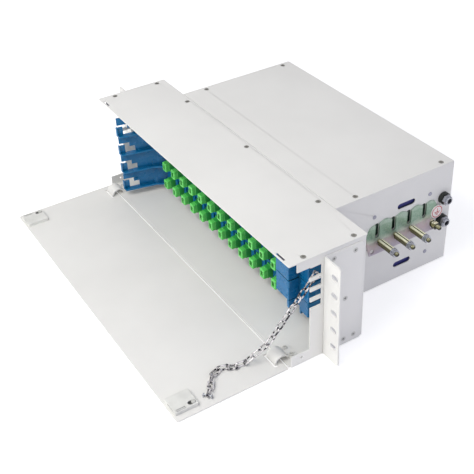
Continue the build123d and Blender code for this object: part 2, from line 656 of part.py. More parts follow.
def entry_gland(y, z):
    """plated gland in the sleeve, with a collar to tighten it on the cable"""
    gland = (rod_x(REAR_X - 3.0, REAR_X + 11.0, y, z, 4.75)
             + hex_x(REAR_X + 5.4, REAR_X + 9.0, y, z, 11.0))
    gland = chamfer(gland.faces().sort_by(Axis.X)[-1].edges(), 0.5)
    return gland - rod_x(REAR_X - 4, REAR_X + 12, y, z, 3.2)


def wall_rivet(y, z):
    head = Pos(REAR_X, y, z) * Rot(0, 90, 0) * Cylinder(
        2.4, 0.9, align=(Align.CENTER, Align.CENTER, Align.MIN))
    head = fillet(head.edges().sort_by(Axis.X)[-1:], 0.6)
    return head + rod_x(REAR_IN_X - 1.2, REAR_X + 0.1, y, z, 1.25)


def shoulder_rivet(z):
    x, rear_y = SHOULDER_RIVET_X, FRONT_D + THIN
    rivet = rod_y(SHOULDER_Y - 0.8, rear_y, x, z, 1.55)
    rivet += rod_y(rear_y, rear_y + 1.0, x, z, 3.0)
    rivet += rod_y(SHOULDER_Y - 1.0, SHOULDER_Y, x, z, 2.3)
    return rivet


save("cable_fixing_bracket", cable_fixing_bracket())
save_group("clamp_bolts", [clamp_bolt(y) for y in BOLT_YS])
save_group("clamp_nuts", [clamp_nut(y) for y in BOLT_YS])
save_group("clamp_blocks", [clamp_block(y) for y in BOLT_YS])
save("earth_stud", earth_stud())
save_group("earth_nuts", earth_nuts())
save("earth_marker_disc", Pos(REAR_X + 2.5, 237.5, 74.0) * Rot(0, 90, 0) * Cylinder(8.4, 1.0))
save_group("cable_clamp_bands", [entry_gland(y, z) for y, z in ENTRIES])
save_group("cable_clamp_sleeves", [entry_sleeve(y, z) for y, z in ENTRIES])
save_group("wall_rivets", both_sides([wall_rivet(y, z) for y, z in WALL_RIVETS])
           + both_sides([shoulder_rivet(z) for z in SHOULDER_RIVET_ZS]))

# ---- door chain ---------------------------------------------------------
UPPER_COUNT, MIDDLE_COUNT = 12, 4
# headings in the XY plane, degrees from +X, of the links lying on the door
LOWER_HEADINGS = [270, 250, 235, 262, 289, 316, 343, 316, 312]


def chain_link():
    """oval link, long axis X, flat in the XY plane"""
    end_r = (LINK_W - WIRE) / 2                 # centreline radius of an end
    half_leg = (LINK_L - WIRE) / 2 - end_r
    near, far = [Pos(0, side * end_r, 0) * Rot(0, 90, 0) * Cylinder(WIRE / 2, 2 * half_leg)
                 for side in (1, -1)]
    right_end = revolve(plane_x(half_leg, -end_r) * Circle(WIRE / 2),
                        axis=Axis((half_leg, 0, 0), (0, 0, 1)), revolution_arc=180)
    return near + far + right_end + mirrored(right_end)


LINK = chain_link()


def place_link(centre, direction, flat):
    """link along a direction; its width lies level if flat, else it stands on edge"""
    side = Vector(0, 0, 1).cross(direction).normalized()
    normal = direction.cross(side) if flat else side
    return Plane(origin=centre, x_dir=direction, z_dir=normal) * LINK


def straight_run(start, direction, count, first, step, first_flat):
    """links in a line, every other one flat"""
    return [place_link(start + direction * (first + step * i), direction,
                       flat=(i % 2 == 0) == first_flat) for i in range(count)]


def knee_point():
    """lower corner of the triangle that the two hanging stretches make with STUD-LIFT"""
    upper = LINK_PITCH * UPPER_COUNT - 0.8
    middle = LINK_PITCH * MIDDLE_COUNT - 0.8
    chord = LIFT - STUD
    dist = chord.length
    along = chord.normalized()
    cosine = (upper * upper + dist * dist - middle * middle) / (2 * upper * dist)
    gravity = Vector(0, 0, -1)
    sag = (gravity - along * gravity.dot(along)).normalized()
    return STUD + along * (upper * cosine) + sag * (upper * sqrt(1 - cosine * cosine))


def lower_run():
    """links on the door, with the centre and direction of the last one"""
    links = []
    for i, heading in enumerate(LOWER_HEADINGS):
        direction = Vector(cos(radians(heading)), sin(radians(heading)), 0)
        if i == 0:
            centre = LIFT + direction * 3.5
        else:
            centre = centre + (previous + direction).normalized() * (LINK_PITCH - 0.35)
        links.append(place_link(centre, direction, flat=i % 2 == 1))
        previous = direction
    return links, centre, direction


def upper_anchor():
    """stud with a head at its inner end and a collar against the side plate"""
    return (rod_x(STUD.X - 2.6, FRONT_X - 0.2, STUD.Y, STUD.Z, 0.75)
            + rod_x(STUD.X - 3.4, STUD.X - 2.6, STUD.Y, STUD.Z, 1.9)
            + rod_x(STUD.X + 3.6, FRONT_IN_X, STUD.Y, STUD.Z, 1.6))


def door_anchor(centre, direction):
    """upright staple on the door, its bar across the end of the last link"""
    end = centre + direction * ((LINK_L - WIRE) / 2 - 1.55)
    bar_z = end.Z - THICK
    post_h = bar_z + 0.7
    staple = Pos(0, 0, bar_z) * Rot(0, 90, 0) * Cylinder(0.7, 9.0)
    staple += (Pos(-4.5, 0, post_h / 2) * Box(1.2, 3.0, post_h)
               + Pos(4.5, 0, post_h / 2) * Box(1.2, 3.0, post_h))
    return Plane(origin=(end.X, end.Y, THICK), x_dir=(-direction.Y, direction.X, 0),
                 z_dir=(0, 0, 1)) * staple


knee = knee_point()
save_group("chain_upper", straight_run(STUD, (knee - STUD).normalized(), UPPER_COUNT,
                                       first=3.25, step=LINK_PITCH, first_flat=False))
save_group("chain_middle", straight_run(LIFT, (knee - LIFT).normalized(), MIDDLE_COUNT,
                                        first=3.7, step=7.9, first_flat=True))
lower_links, last_centre, last_direction = lower_run()
save_group("chain_lower", lower_links)
save("chain_anchor_upper", upper_anchor())
save("chain_anchor_door", door_anchor(last_centre, last_direction))
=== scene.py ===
"""Rack enclosure with four adapter trays, its door folded down in front and held by a chain.

+X runs to the right, +Y to the back, +Z up, in metres; the door lies low on the -Y side.
Added pieces are drawn in millimetres with y = 0 at the front edge of the top cover.
"""
import bpy
import bmesh
import json
import math
from mathutils import Matrix, Vector


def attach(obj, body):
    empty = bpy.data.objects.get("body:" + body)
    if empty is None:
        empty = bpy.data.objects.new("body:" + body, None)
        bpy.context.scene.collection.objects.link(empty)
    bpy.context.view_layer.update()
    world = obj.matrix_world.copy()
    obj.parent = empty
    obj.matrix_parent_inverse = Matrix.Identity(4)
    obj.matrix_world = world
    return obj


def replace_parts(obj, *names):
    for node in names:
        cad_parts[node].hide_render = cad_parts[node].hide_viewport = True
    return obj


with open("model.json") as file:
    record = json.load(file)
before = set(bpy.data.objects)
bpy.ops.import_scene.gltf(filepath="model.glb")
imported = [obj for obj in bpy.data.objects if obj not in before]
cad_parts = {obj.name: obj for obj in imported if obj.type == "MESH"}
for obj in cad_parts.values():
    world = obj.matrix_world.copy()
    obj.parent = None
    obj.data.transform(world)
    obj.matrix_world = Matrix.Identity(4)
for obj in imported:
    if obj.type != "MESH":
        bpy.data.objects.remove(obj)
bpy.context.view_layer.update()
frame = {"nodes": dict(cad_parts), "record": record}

cad_pieces = frame["nodes"]

MM = 0.001
COVER_EDGE_Y = -0.043   # front edge of the top cover in the frame, metres
SIDES = (("right", 1), ("left", -1))


# ---------------------------------------------------------------- colours, linear RGBA
def linear(r, g, b):
    return (r, g, b, 1.0)


def srgb(*channels):
    """Linear colour from 0..255 sRGB channels."""
    def decode(c):
        return c / 12.92 if c <= 0.04045 else ((c + 0.055) / 1.055) ** 2.4
    return tuple(decode(c / 255) for c in channels) + (1.0,)


def scaled(colour, factor, lift=0.0):
    return tuple(min(1, c * factor + lift) for c in colour[:3]) + (1.0,)


BLACK = linear(0, 0, 0)
WHITE = linear(1, 1, 1)


# ---------------------------------------------------------------- shader nodes
class Nodes:
    """Builds one node tree; any input may be given as a value or as a socket to link."""

    def __init__(self, tree):
        self.tree = tree

    def feed(self, value, socket):
        if isinstance(value, bpy.types.NodeSocket):
            self.tree.links.new(value, socket)
        else:
            socket.default_value = value

    def add(self, kind, inputs=None, **settings):
        node = self.tree.nodes.new(kind)
        for key, value in settings.items():
            setattr(node, key, value)
        for key, value in (inputs or {}).items():
            self.feed(value, node.inputs[key])
        return node

    def ramp(self, factor, stops):
        """Colour ramp from (position, colour) stops."""
        node = self.add("ShaderNodeValToRGB", {"Fac": factor})
        elements = node.color_ramp.elements
        while len(elements) > 1:
            elements.remove(elements[-1])
        elements[0].position, elements[0].color = stops[0]
        for position, colour in stops[1:]:
            elements.new(position).color = colour
        return node.outputs["Color"]

    def mix(self, factor, a, b, mode="MIX"):
        # sockets 0, 6, 7 and output 2 are the colour version's factor, A, B and result
        node = self.add("ShaderNodeMix", {0: factor, 6: a, 7: b},
                        data_type="RGBA", blend_type=mode)
        return node.outputs[2]

    def math(self, operation, *values):
        node = self.add("ShaderNodeMath", dict(enumerate(values)), operation=operation)
        return node.outputs[0]

    def remap(self, value, source=(0.0, 1.0), target=(0.0, 1.0)):
        node = self.add("ShaderNodeMapRange", {
            "Value": value,
            "From Min": source[0], "From Max": source[1],
            "To Min": target[0], "To Max": target[1]})
        return node.outputs["Result"]

    def dot(self, a, b):
        node = self.add("ShaderNodeVectorMath", {0: a, 1: b}, operation="DOT_PRODUCT")
        return node.outputs["Value"]

    def normal(self):
        return self.add("ShaderNodeNewGeometry").outputs["Normal"]

    def object_coords(self):
        """Object-space coordinates, which are the frame's metres for every piece."""
        return self.add("ShaderNodeTexCoord").outputs["Object"]

    def noise(self, coords, scale, detail, roughness=0.55, distortion=0.0):
        node = self.add("ShaderNodeTexNoise", {
            "Vector": coords, "Scale": scale, "Detail": detail,
            "Roughness": roughness, "Distortion": distortion})
        return node.outputs["Fac"]

    def edge_mask(self, radius):
        """1 near sharp edges, 0 on flats."""
        rounded = self.add("ShaderNodeBevel", {"Radius": radius}, samples=4)
        alike = self.dot(rounded.outputs["Normal"], self.normal())
        return self.remap(alike, source=(0.99, 0.80))

    def painted_crevice_shade(self, colour, dark, amount):
        """Darkens the colour where surfaces face each other closely, as painted shade in
        crevices.
        """
        occlusion = self.add("ShaderNodeAmbientOcclusion", {"Distance": 0.018}, samples=4)
        factor = self.remap(occlusion.outputs["AO"], source=(0.85, 0.25), target=(0.0, amount))
        return self.mix(factor, colour, dark)

    def painted_dark_rim(self, colour, dark, facing_range):
        """Turns the colour dark where the surface runs away from the eye, as painted shade."""
        weight = self.add("ShaderNodeLayerWeight", {"Blend": 0.5})
        factor = self.remap(weight.outputs["Facing"], source=facing_range)
        return self.mix(factor, colour, dark)

    def facing_up(self):
        """1 where the surface faces up and a little to the front, 0 where it faces away."""
        return self.remap(self.dot(self.normal(), (0.0, -0.26, 0.966)), source=(-1.0, 1.0))

    def height(self, bottom, top):
        """0 at height bottom, 1 at top, in metres."""
        split = self.add("ShaderNodeSeparateXYZ", {0: self.object_coords()})
        return self.remap(split.outputs["Z"], source=(bottom, top))


class Surface(Nodes):
    """A new material holding only an output and a Principled shader."""

    def __init__(self, name):
        self.material = bpy.data.materials.new(name)
        self.material.use_nodes = True
        super().__init__(self.material.node_tree)
        for node in list(self.tree.nodes):
            self.tree.nodes.remove(node)
        output = self.add("ShaderNodeOutputMaterial")
        self.principled = self.add("ShaderNodeBsdfPrincipled")
        self.feed(self.principled.outputs["BSDF"], output.inputs["Surface"])

    def finish(self, inputs):
        for key, value in inputs.items():
            self.feed(value, self.principled.inputs[key])
        return self.material

    def bump(self, height, strength, distance):
        node = self.add("ShaderNodeBump", {
            "Strength": strength, "Distance": distance, "Height": height})
        return node.outputs["Normal"]


# ---------------------------------------------------------------- material kinds
def powder(name, colour):
    """Powder coat: faint blotches, edges a little darker in noisy patches, orange-peel bump.
    """
    s = Surface(name)
    coords = s.object_coords()
    blotches = s.noise(coords, scale=9.0, detail=3.0)
    base = s.ramp(blotches, [(0.3, scaled(colour, 0.96)), (0.7, scaled(colour, 1.02))])
    edges = s.edge_mask(radius=0.0006)
    edge_darkening = s.math("MULTIPLY", edges, s.noise(coords, scale=240.0, detail=3.0))
    peel = s.noise(coords, scale=1400.0, detail=2.0)
    grain = s.noise(coords, scale=3800.0, detail=2.0)
    return s.finish({
        "Base Color": s.mix(edge_darkening, base, scaled(colour, 0.80)),
        "Normal": s.bump(s.math("ADD", peel, grain), strength=0.22, distance=0.00012),
        "Roughness": s.remap(blotches, target=(0.37, 0.50)),
        "Specular IOR Level": 0.4})


def plastic(name, colour, rough, coat=0.0, edge_highlight=None, crevice_shade=0.0, mute=False):
    """Moulded plastic with painted highlights on its edges.

    The edge colour is a painted highlight on sharp edges, the crevice amount darkens
    crevices with painted shade, and mute greys the light it throws on its neighbours.
    """
    s = Surface(name)
    coords = s.object_coords()
    blotches = s.noise(coords, scale=60.0, detail=3.0)
    base = s.ramp(blotches, [(0.3, scaled(colour, 0.92)), (0.7, scaled(colour, 1.08))])
    # Paler sharp edges: painted highlight.
    edge_highlight_factor = s.math("MULTIPLY", s.edge_mask(radius=0.0005), 0.8 if edge_highlight else 0.5)
    # Darker crevices: painted shade.
    if crevice_shade:
        base = s.painted_crevice_shade(base, dark=scaled(colour, 0.18), amount=crevice_shade)
    base = s.mix(edge_highlight_factor, base, edge_highlight or scaled(colour, 1.5, lift=0.03))
    if mute:
        rays = s.add("ShaderNodeLightPath")
        base = s.mix(rays.outputs["Is Diffuse Ray"], base, linear(0.42, 0.44, 0.40))
    grain = s.noise(coords, scale=1800.0, detail=2.0)
    return s.finish({
        "Base Color": base,
        "Normal": s.bump(grain, strength=0.10, distance=0.0001),
        "Roughness": s.remap(blotches, target=(rough - 0.06, rough + 0.08)),
        "Coat Weight": coat})


def metal(name, colour, rough, shade_patch_colour=None, painted_rim=None, bands=None, metallic=1.0):
    """Plated metal.

    The second colour fills small dark patches as painted shade, the rim range sets
    where the surface darkens as painted shade as it turns away, and bands are the ramp
    stops of a painted reflection and painted shade that follow the surface's tilt.
    """
    s = Surface(name)
    coords = s.object_coords()
    blotches = s.noise(coords, scale=300.0, detail=4.0)
    grain = s.noise(coords, scale=1800.0, detail=2.0)
    base = s.ramp(blotches, [(0.3, scaled(colour, 0.88)), (0.7, colour)])
    # Small dark patches: painted shade.
    if shade_patch_colour:
        patches = s.noise(coords, scale=240.0, detail=2.0)
        base = s.mix(s.ramp(patches, [(0.46, BLACK), (0.58, WHITE)]), base, shade_patch_colour)
    # Bands that follow the surface's tilt: painted reflection and painted shade.
    if bands:
        base = s.mix(1.0, s.ramp(s.facing_up(), bands), base, mode="MULTIPLY")
    # Darker where the surface turns away from the eye: painted shade.
    if painted_rim:
        base = s.painted_dark_rim(base, dark=scaled(colour, 0.06), facing_range=painted_rim)
    return s.finish({
        "Base Color": base,
        "Metallic": metallic,
        "Roughness": s.remap(blotches, target=(rough * 0.7, rough * 1.4)),
        "Normal": s.bump(grain, strength=0.15, distance=0.00008)})


def passivated(name):
    """Colour-passivated zinc sheet: green towards the top, pink to lavender low down, with
    paler streaks of painted highlight.
    """
    s = Surface(name)
    coords = s.object_coords()
    clouds = s.noise(coords, scale=70.0, detail=2.0, roughness=0.5, distortion=0.4)
    grain = s.noise(coords, scale=500.0, detail=3.0)
    level = s.math("MULTIPLY_ADD", clouds, 0.30, s.height(bottom=0.056, top=0.094))
    base = s.ramp(level, [
        (0.15, srgb(196, 184, 196)), (0.40, srgb(205, 186, 184)),
        (0.52, srgb(176, 186, 168)), (0.66, srgb(128, 160, 136)),
        (0.95, srgb(142, 172, 148)), (1.0, srgb(166, 188, 170))])
    # Paler streaks: painted highlights.
    highlight_streaks = s.ramp(grain, [(0.42, BLACK), (0.70, WHITE)])
    return s.finish({
        "Base Color": s.mix(s.math("MULTIPLY", highlight_streaks, 0.35), base, srgb(205, 212, 204)),
        "Metallic": 0.35,
        "Roughness": 0.36,
        "Normal": s.bump(grain, strength=0.12, distance=0.00008)})


def by_height(name, stops, top, rough):
    """Part whose colour changes with height, from 0 to top in metres; on the latch slide this
    is painted shade.
    """
    s = Surface(name)
    coords = s.object_coords()
    base = s.ramp(s.height(bottom=0.0, top=top), stops)
    dirt = s.math("MULTIPLY", s.noise(coords, scale=220.0, detail=3.0), 0.25)
    grain = s.noise(coords, scale=1600.0, detail=2.0)
    return s.finish({
        "Base Color": s.mix(dirt, base, linear(0.02, 0.02, 0.03)),
        "Roughness": rough,
        "Normal": s.bump(grain, strength=0.1, distance=0.0001)})


# ---------------------------------------------------------------- the materials
# Ramp stops: (position, colour)
# Yellow zinc: dark where the surface faces away, bright bands where it faces up, as painted
# reflection and painted shade.
ZINC_PAINTED_REFLECTION = [
    (0.0, linear(0.03, 0.03, 0.02)), (0.58, linear(0.03, 0.03, 0.02)),
    (0.70, linear(0.22, 0.21, 0.12)), (0.80, linear(0.45, 0.43, 0.26)),
    (0.88, linear(0.08, 0.08, 0.04)), (0.93, linear(1.0, 1.0, 0.95)),
    (1.0, linear(1.0, 1.0, 0.95))]
# Latch slide: dark on its lower half as painted shade, light above.
SLIDE_PAINTED_SHADE = srgb(62, 62, 60)
SLIDE_SHADE_STOPS = [(0.0, SLIDE_PAINTED_SHADE), (0.50, SLIDE_PAINTED_SHADE), (0.56, srgb(214, 214, 208))]
# Rail: blue-violet with a dark green band from about half to three quarters of its height.
RAIL_BLUE = srgb(56, 58, 128)
RAIL_STOPS = [(0.0, RAIL_BLUE), (0.50, RAIL_BLUE), (0.56, srgb(38, 62, 46)),
              (0.73, srgb(34, 58, 42)), (0.75, RAIL_BLUE)]

# Keyed by the material slot names of the frame, plus a few for the added pieces.
materials = {
    "enclosure_paint": powder("powder_coat", srgb(233, 232, 228)),
    # Edge colours and crevice amounts below are painted highlights and painted shade.
    "tray_blue": plastic("tray_blue_abs", srgb(2, 110, 166), rough=0.26, coat=0.12,
                         edge_highlight=srgb(60, 156, 200), crevice_shade=0.85),
    "adapter_green": plastic("adapter_green", srgb(64, 196, 80), rough=0.30, crevice_shade=0.6,
                             mute=True),
    "cap_green": plastic("cap_green", srgb(104, 228, 104), rough=0.26, coat=0.2,
                         edge_highlight=srgb(196, 248, 190), crevice_shade=0.5, mute=True),
    "plug_green": plastic("plug_green", srgb(38, 150, 60), rough=0.35),
    "splice_grey": plastic("splice_grey", srgb(210, 212, 215), rough=0.45),
    # The rim ranges and dark patches of these metals are painted shade.
    "zinc_plate": metal("zinc_plate", srgb(190, 192, 200), rough=0.26, painted_rim=(0.62, 0.85),
                        metallic=0.85),
    "chain_nickel": metal("chain_nickel", srgb(252, 248, 248), rough=0.14,
                          painted_rim=(0.50, 0.68), metallic=0.4, shade_patch_colour=srgb(44, 40, 50)),
    "screw_dark": metal("screw_dark", srgb(168, 166, 160), rough=0.30),
    "rivet_grey": metal("rivet_grey", srgb(176, 176, 190), rough=0.35),
    "rubber_black": plastic("rubber_black", srgb(30, 33, 30), rough=0.42),
    # The yellow zinc bands are a painted reflection and painted shade.
    "yellow_zinc": metal("yellow_zinc", srgb(255, 252, 226), rough=0.22, metallic=0.10,
                         bands=ZINC_PAINTED_REFLECTION),
    "colour_zinc": passivated("colour_zinc"),
    "label_white": plastic("label_white", srgb(240, 234, 230), rough=0.4),
    "latch_white": plastic("latch_white", srgb(222, 222, 217), rough=0.4),
    "latch_dark": by_height("latch_slide", SLIDE_SHADE_STOPS, top=0.0088, rough=0.4),
    "rail_grey": by_height("rail_blue_green_bands", RAIL_STOPS, top=0.130, rough=0.45),
    # Dark groove colour: painted shadow in the latch grooves.
    "groove_dark": plastic("groove_dark", srgb(84, 84, 82), rough=0.6),
    "screw_light": powder("screw_light", srgb(206, 205, 200)),
    # Dark keeper colour: painted shade in the cover slots.
    "keeper_dark": plastic("keeper_dark", srgb(44, 42, 66), rough=0.5),
    "mark_red": plastic("mark_red", srgb(186, 52, 56), rough=0.4),
}


# ---------------------------------------------------------------- CAD pieces
# Bevel widths in metres; pieces not named here stay sharp.
bevel_widths = {
    "front_top_cover": 0.00025, "rear_top_cover": 0.00025,
    "right_rear_wall": 0.0002, "left_rear_wall": 0.0002,
    "clamp_nuts": 0.0004, "earth_nuts": 0.0004, "cable_fixing_bracket": 0.0003}
for tray in (1, 2, 3, 4):
    bevel_widths["tray_%d_body" % tray] = 0.0003
    bevel_widths["tray_%d_adapters" % tray] = 0.0002
    bevel_widths["tray_%d_dust_caps" % tray] = 0.00015

# Pieces that take another material than the one in their slot.
repainted = {"ear_screws": "screw_light", "hinge_screws": "screw_light"}


def dress(piece, material, bevel_width):
    piece.data.materials.clear()
    piece.data.materials.append(material)
    if bevel_width:
        weld = piece.modifiers.new("weld", "WELD")
        weld.merge_threshold = 1e-6
        bevel = piece.modifiers.new("bevel", "BEVEL")
        bevel.width = bevel_width
        bevel.segments = 2
        bevel.limit_method = "ANGLE"
        bevel.angle_limit = math.radians(35)


slot_of = {part["node"]: part["material_slot"] for part in frame["record"]["subparts"]}
for name, piece in cad_pieces.items():
    dress(piece, materials[repainted.get(name, slot_of[name])], bevel_widths.get(name, 0.0))


# ---------------------------------------------------------------- shapes, millimetres
def circle(x, y, z, radius, count):
    """Ring of points around the X axis through (y, z)."""
    angles = [2 * math.pi * i / count for i in range(count)]
    return [(x, y + radius * math.cos(a), z + radius * math.sin(a)) for a in angles]


def skin(rings, count, closed=False):
    """Quads between successive rings of count points; closed joins the last to the first."""
    faces = []
    for k in range(rings if closed else rings - 1):
        here, there = k * count, (k + 1) % rings * count
        for i in range(count):
            j = (i + 1) % count
            faces.append((here + i, here + j, there + j, there + i))
    return faces


class Shape:
    """Collects closed shells in millimetres, then makes one object riding on a body."""

    def __init__(self):
        self.verts = []
        self.faces = []

    def add(self, verts, faces):
        start = len(self.verts)
        self.verts += [(x * MM, y * MM + COVER_EDGE_Y, z * MM) for x, y, z in verts]
        self.faces += [tuple(i + start for i in face) for face in faces]

    def hexagon(self, x0, x1, y, z, radius):
        n = 6
        caps = [tuple(range(n)), tuple(range(2 * n - 1, n - 1, -1))]
        self.add(circle(x0, y, z, radius, n) + circle(x1, y, z, radius, n),
                 caps + skin(2, n))

    def box(self, x0, x1, y0, y1, z0, z1):
        xs = sorted((x0, x1))
        self.add([(x, y, z) for x in xs for y in (y0, y1) for z in (z0, z1)],
                 [(0, 1, 3, 2), (4, 6, 7, 5), (0, 4, 5, 1),
                  (2, 3, 7, 6), (0, 2, 6, 4), (1, 5, 7, 3)])

    def tube(self, x0, x1, y, z, outer, inner):
        n = 48
        verts = []
        for x, radius in ((x0, outer), (x1, outer), (x1, inner), (x0, inner)):
            verts += circle(x, y, z, radius, n)
        self.add(verts, skin(4, n, closed=True))

    def thread(self, x0, x1, y, z, crest, depth):
        """Rod along X with a helical thread and a chamfered end at x1."""
        n = 24
        pitch = 0.8
        crest_width = 1.35       # above 1 flattens the crests
        chamfer_length, chamfer_slope = 0.8, 0.8
        rows = int((x1 - x0) / (pitch / 6.0))
        verts = []
        for k in range(rows + 1):
            x = x0 + (x1 - x0) * k / rows
            chamfer = max(0.0, x - (x1 - chamfer_length)) * chamfer_slope
            for i in range(n):
                phase = (x / pitch - i / n) % 1.0
                rise = min(1.0, crest_width * abs(2 * phase - 1))
                radius = crest - depth * (1 - rise) - chamfer
                a = 2 * math.pi * i / n
                verts.append((x, y + radius * math.cos(a), z + radius * math.sin(a)))
        caps = [tuple(range(n)), tuple(rows * n + i for i in range(n))]
        self.add(verts, caps + skin(rows + 1, n))

    def piece(self, name, material, body, smooth=False):
        mesh = bpy.data.meshes.new(name)
        mesh.from_pydata(self.verts, [], self.faces)
        bm = bmesh.new()
        bm.from_mesh(mesh)
        bmesh.ops.recalc_face_normals(bm, faces=bm.faces)
        bm.to_mesh(mesh)
        bm.free()
        for face in mesh.polygons:
            face.use_smooth = smooth
        obj = bpy.data.objects.new(name, mesh)
        bpy.context.scene.collection.objects.link(obj)
        mesh.materials.append(materials[material])
        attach(obj, body)
        return obj


# ---------------------------------------------------------------- clamp bolts and earth stud
BOLT_X = 161.5                    # plane the bolts, the stud and the earth mark start from
HEAD_START, HEAD_END = BOLT_X - 4.7, BOLT_X - 1.2
HEAD_RADIUS = 4.62
THREAD_RADIUS, THREAD_DEPTH = 2.5, 0.38


def clamp_bolts():
    z = 67.0
    first_y, spacing = 155.0, 22.5
    shape = Shape()
    for i in range(3):
        y = first_y + spacing * i
        shape.hexagon(HEAD_START, HEAD_END, y, z, HEAD_RADIUS)
        shape.thread(BOLT_X - 4.5, BOLT_X + 34.0, y, z, THREAD_RADIUS, THREAD_DEPTH)
    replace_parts(shape.piece("clamp_bolts_threaded", "yellow_zinc", "chassis"), "clamp_bolts")


def earth_stud():
    """Slimmer, shallow-threaded inner length, then a full thread at the free end."""
    y, z = 231.0, 61.0
    step_x = BOLT_X + 11.4
    shape = Shape()
    shape.hexagon(HEAD_START, HEAD_END, y, z, HEAD_RADIUS)
    shape.thread(BOLT_X - 3.0, step_x, y, z, crest=2.1, depth=0.15)
    shape.thread(step_x, BOLT_X + 17.0, y, z, THREAD_RADIUS, THREAD_DEPTH)
    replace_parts(shape.piece("earth_stud_threaded", "yellow_zinc", "chassis"), "earth_stud")


clamp_bolts()
earth_stud()


# ---------------------------------------------------------------- latches, mark, ear screws
def latch_grooves(side, sign):
    """Two dark strips on the outer edge of a latch housing: painted shadow in its two grooves.
    """
    shape = Shape()
    for x0, x1 in ((204.35, 205.05), (206.25, 206.85)):
        shape.box(sign * x0, sign * x1, -127.9, -117.1, 4.95, 5.35)
    shape.piece(side + "_latch_groove_shadow", "groove_dark", "door")


def earth_mark():
    """Ring around the earth sign, just proud of the white disc."""
    disc_x = BOLT_X + 3.0
    back, front = disc_x - 0.05, disc_x + 0.08
    y, z = 237.5, 74.0
    # (half width, bottom z, top z) of the upright and the three bars
    strokes = [(0.4, z, 78.6), (3.9, 73.3, 74.2), (2.6, 71.6, 72.4), (1.3, 69.9, 70.7)]
    shape = Shape()
    shape.tube(back, front, y, z, outer=7.4, inner=6.5)
    for half_width, bottom, top in strokes:
        shape.box(back, front, y - half_width, y + half_width, bottom, top)
    shape.piece("earth_mark", "mark_red", "chassis")


# (y, z) of the screws in each ear
EAR_SCREWS = [(52.6, 120.3), (79.1, 119.6), (68.1, 63.0), (67.4, 7.6), (80.5, 8.2)]


def ear_screw_recess_shade(side, sign):
    """Black cross on the head of each ear screw: painted shade in its cross recess."""
    long, short = 1.42, 0.55      # half length and half width of an arm
    shape = Shape()
    for y, z in EAR_SCREWS:
        for dy, dz in ((long, short), (short, long)):
            shape.box(sign * 216.13, sign * 216.4, y - dy, y + dy, z - dz, z + dz)
    shape.piece(side + "_ear_screw_recess_shade", "rubber_black", "chassis")


def latch_keeper_slot_shade(side, sign):
    """Angle strip: an upright leg in front and a flat leg running back from its top, coloured
    dark as painted shade in the cover slot.
    """
    x0, x1 = sign * 188.0, sign * 204.5
    front, top = 5.4, 130.75
    shape = Shape()
    shape.box(x0, x1, front, 6.4, 126.4, top)
    shape.box(x0, x1, front, 12.0, 129.9, top)
    shape.piece(side + "_latch_keeper_slot_shade", "keeper_dark", "chassis")


for side, sign in SIDES:
    latch_grooves(side, sign)
earth_mark()
for side, sign in SIDES:
    ear_screw_recess_shade(side, sign)
    latch_keeper_slot_shade(side, sign)


# ---------------------------------------------------------------- chain of welded oval links
CHAIN_TOP = Vector((209.0, 36.9, 104.3))
CHAIN_DOOR = Vector((185.5, -36.0, 4.4))
CHAIN_MEET = Vector((193.085, -12.4692, 23.7578))   # where upper and middle stretches meet
MEET_OVERRUN = 0.85               # how far the last link reaches past the meeting point
LINK_LENGTH, LINK_WIDTH, WIRE = 14.4, 7.4, 1.75
LINK_HALF = (LINK_LENGTH - WIRE) / 2      # to the wire's centre line
BEND_RADIUS = (LINK_WIDTH - WIRE) / 2


def add_link(shape, centre, direction, flat):
    """One link along direction; flat lays it on its side, else it stands on edge."""
    around, wire_sides = 36, 12
    direction = direction.normalized()
    side = Vector((0, 0, 1)).cross(direction).normalized()
    normal = direction.cross(side) if flat else side
    across = normal.cross(direction)
    half_straight = LINK_HALF - BEND_RADIUS
    verts = []
    for i in range(around):
        t = 2 * math.pi * i / around
        nx, ny = math.cos(t), math.sin(t)
        end = half_straight if nx > 1e-9 else (-half_straight if nx < -1e-9 else 0)
        for j in range(wire_sides):
            a = 2 * math.pi * j / wire_sides
            r = WIRE / 2
            x = BEND_RADIUS * nx + end + nx * r * math.cos(a)
            y = BEND_RADIUS * ny + ny * r * math.cos(a)
            z = r * math.sin(a)
            verts.append(tuple(centre + direction * x + across * y + normal * z))
    faces = []
    for i in range(around):
        here, there = i * wire_sides, (i + 1) % around * wire_sides
        for j in range(wire_sides):
            k = (j + 1) % wire_sides
            faces.append((here + j, there + j, there + k, here + k))
    shape.add(verts, faces)


def straight_chain(name, start, count, start_overrun, first_flat, body, replaced):
    """Links spread evenly from start to the meeting point, turned about by turns."""
    line = CHAIN_MEET - start
    direction = line.normalized()
    first = LINK_HALF - start_overrun
    last = line.length + MEET_OVERRUN - LINK_HALF
    shape = Shape()
    for i in range(count):
        place = first + (last - first) * i / (count - 1)
        add_link(shape, start + direction * place, direction, (i % 2 == 0) == first_flat)
    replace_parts(shape.piece(name, "chain_nickel", body, smooth=True), replaced)


# (x, y) of the line the lower stretch follows over the door
LOWER_PATH = [
    (185.5, -34.0), (185.5, -39.5), (184.2, -47.1), (180.6, -53.9), (177.8, -61.1),
    (178.5, -68.7), (182.7, -75.2), (189.3, -79.1), (195.9, -83.1), (201.3, -88.6),
    (205.6, -93.4)]


def along_lower_path(distance):
    for a, b in zip(LOWER_PATH[:-1], LOWER_PATH[1:]):
        length = math.hypot(b[0] - a[0], b[1] - a[1])
        if distance <= length or b is LOWER_PATH[-1]:
            return Vector((a[0] + (b[0] - a[0]) * distance / length,
                           a[1] + (b[1] - a[1]) * distance / length, 0))
        distance -= length


